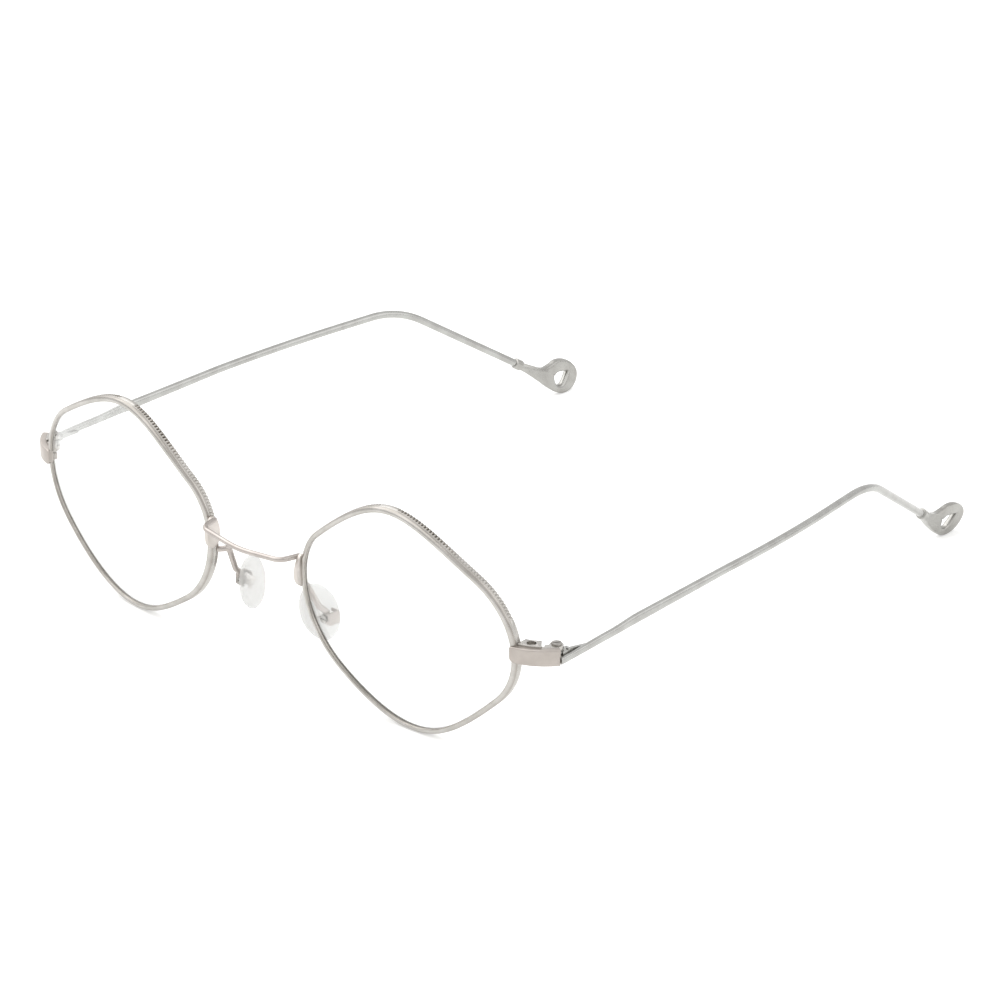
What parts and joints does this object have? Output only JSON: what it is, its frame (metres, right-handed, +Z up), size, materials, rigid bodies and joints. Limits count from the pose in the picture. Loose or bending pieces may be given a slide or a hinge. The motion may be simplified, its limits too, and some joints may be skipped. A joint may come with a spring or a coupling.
{
  "type": "diamond shape sunglasses",
  "caption": "Diamond-shape metal eyewear frame with clear lenses, folding wire temples, pierced temple tips and rocking nose pads.",
  "frame": {"origin": "On the table under the middle of the open frame: middle of the width and of the depth, at the lowest point of the rims and tips.", "axes": "+X toward the wearer's left, +Y from the front back along the temples, +Z up."},
  "size_m": [0.1426, 0.1488, 0.0452],
  "materials": {
    "polished_metal": "polished",
    "satin_metal": "satin",
    "screw_steel": "satin",
    "clear_lens": "clear",
    "clear_silicone": "translucent"
  },
  "bodies": {
    "front": {"rim_left": "polished_metal", "rim_right": "polished_metal", "lens_left": "clear_lens", "lens_right": "clear_lens", "closing_block_upper_left": "polished_metal", "closing_block_upper_right": "polished_metal", "closing_block_lower_left": "polished_metal", "closing_block_lower_right": "polished_metal", "rim_screw_left": "screw_steel", "rim_screw_right": "screw_steel", "end_piece_left": "satin_metal", "end_piece_right": "satin_metal", "hinge_front_left": "polished_metal", "hinge_front_right": "polished_metal", "hinge_screw_left": "screw_steel", "hinge_screw_right": "screw_steel", "bridge": "satin_metal", "bridge_plate_left": "polished_metal", "bridge_plate_right": "polished_metal", "pad_arm_left": "polished_metal", "pad_arm_right": "polished_metal", "pad_box_left": "polished_metal", "pad_box_right": "polished_metal", "pad_screw_left": "screw_steel", "pad_screw_right": "screw_steel"},
    "temple_left": {"temple_left": "polished_metal", "temple_tip_left": "polished_metal", "hinge_temple_left": "polished_metal"},
    "temple_right": {"temple_right": "polished_metal", "temple_tip_right": "polished_metal", "hinge_temple_right": "polished_metal"},
    "nose_pad_left": {"pad_core_left": "polished_metal", "nose_pad_left": "clear_silicone"},
    "nose_pad_right": {"pad_core_right": "polished_metal", "nose_pad_right": "clear_silicone"}
  },
  "joints": [
    {"name": "temple_left_fold", "type": "hinge", "parent": "front", "child": "temple_left", "pos_m": [0.06856, -0.05981, 0.02386], "axis": [0, 0, 1], "range_deg": [0, 85]},
    {"name": "temple_right_fold", "type": "hinge", "parent": "front", "child": "temple_right", "pos_m": [-0.06856, -0.05981, 0.02386], "axis": [0, 0, -1], "range_deg": [0, 81]},
    {"name": "nose_pad_left_rock", "type": "hinge", "parent": "front", "child": "nose_pad_left", "pos_m": [0.01185, -0.06148, 0.0129], "axis": [0, 1, 0], "range_deg": [-6, 6]},
    {"name": "nose_pad_right_rock", "type": "hinge", "parent": "front", "child": "nose_pad_right", "pos_m": [-0.01185, -0.06148, 0.0129], "axis": [0, 1, 0], "range_deg": [-6, 6]}
  ]
}
